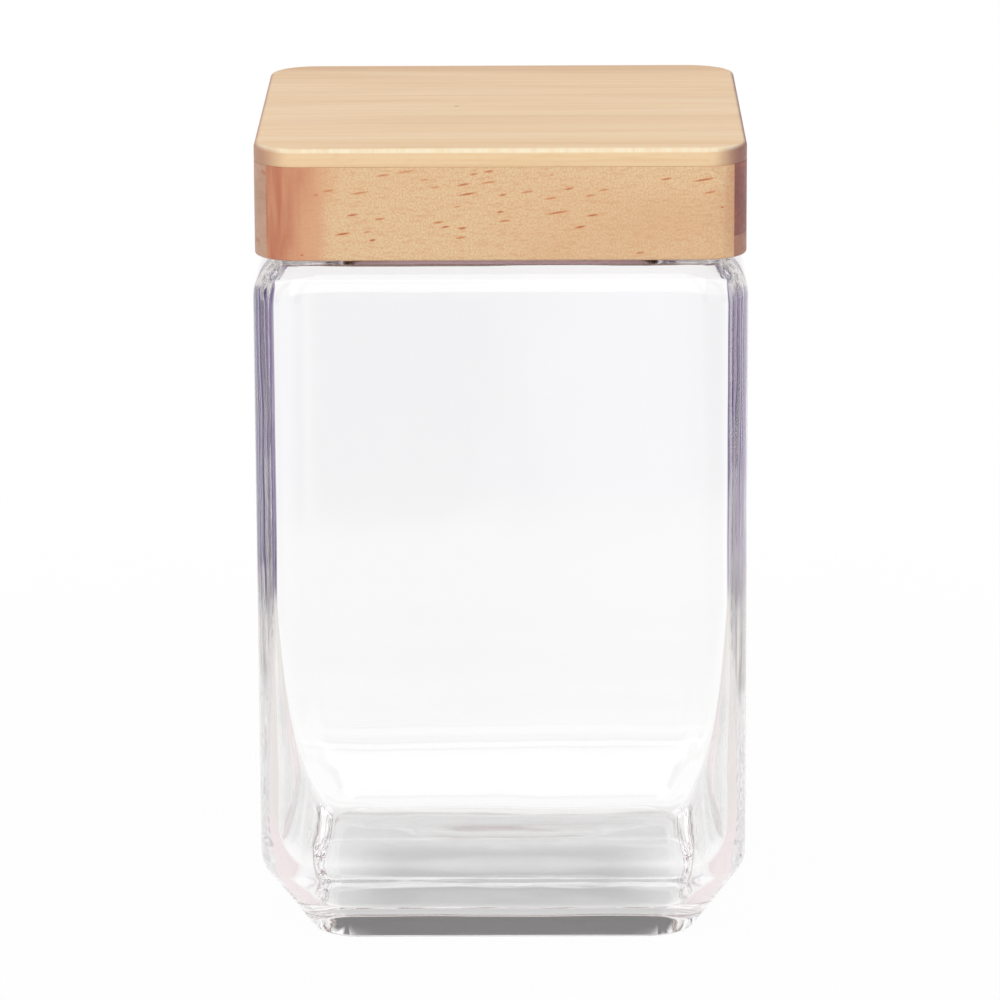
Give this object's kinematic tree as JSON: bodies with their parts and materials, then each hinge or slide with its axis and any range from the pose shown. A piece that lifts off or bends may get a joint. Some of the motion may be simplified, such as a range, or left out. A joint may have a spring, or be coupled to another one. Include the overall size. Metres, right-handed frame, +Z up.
{
  "type": "candy jar",
  "caption": "Square clear glass candy jar with rounded shoulder and chamfered foot, and a lift-off wooden lid with an inner plug and seal.",
  "frame": {"origin": "middle of the foot, on the surface that the jar stands on", "axes": "+Z up through the lid; the front in the picture faces -Y, and +X is to its right"},
  "size_m": [0.1098, 0.1098, 0.1842],
  "materials": {
    "clear_glass": "clear, smooth pressed and blown glass",
    "top_wood": "pale fine-grained wood, satin clear coat",
    "frame_wood": "orange-tan wood with short dark pores, satin clear coat",
    "side_wood": "brown-tan wood, satin clear coat",
    "plug_wood": "pale sanded wood",
    "seal": "clear silicone"
  },
  "bodies": {
    "jar": {"glass_jar": "clear_glass"},
    "lid": {"lid_top_board": "top_wood", "lid_frame_front": "frame_wood", "lid_frame_back": "frame_wood", "lid_frame_left": "side_wood", "lid_frame_right": "side_wood", "lid_plug": "plug_wood", "lid_gasket": "seal"}
  },
  "joints": [
    {"name": "lid_lift", "type": "slide", "parent": "jar", "child": "lid", "axis": [0, 0, 1], "range_m": [0, 0.1]}
  ]
}
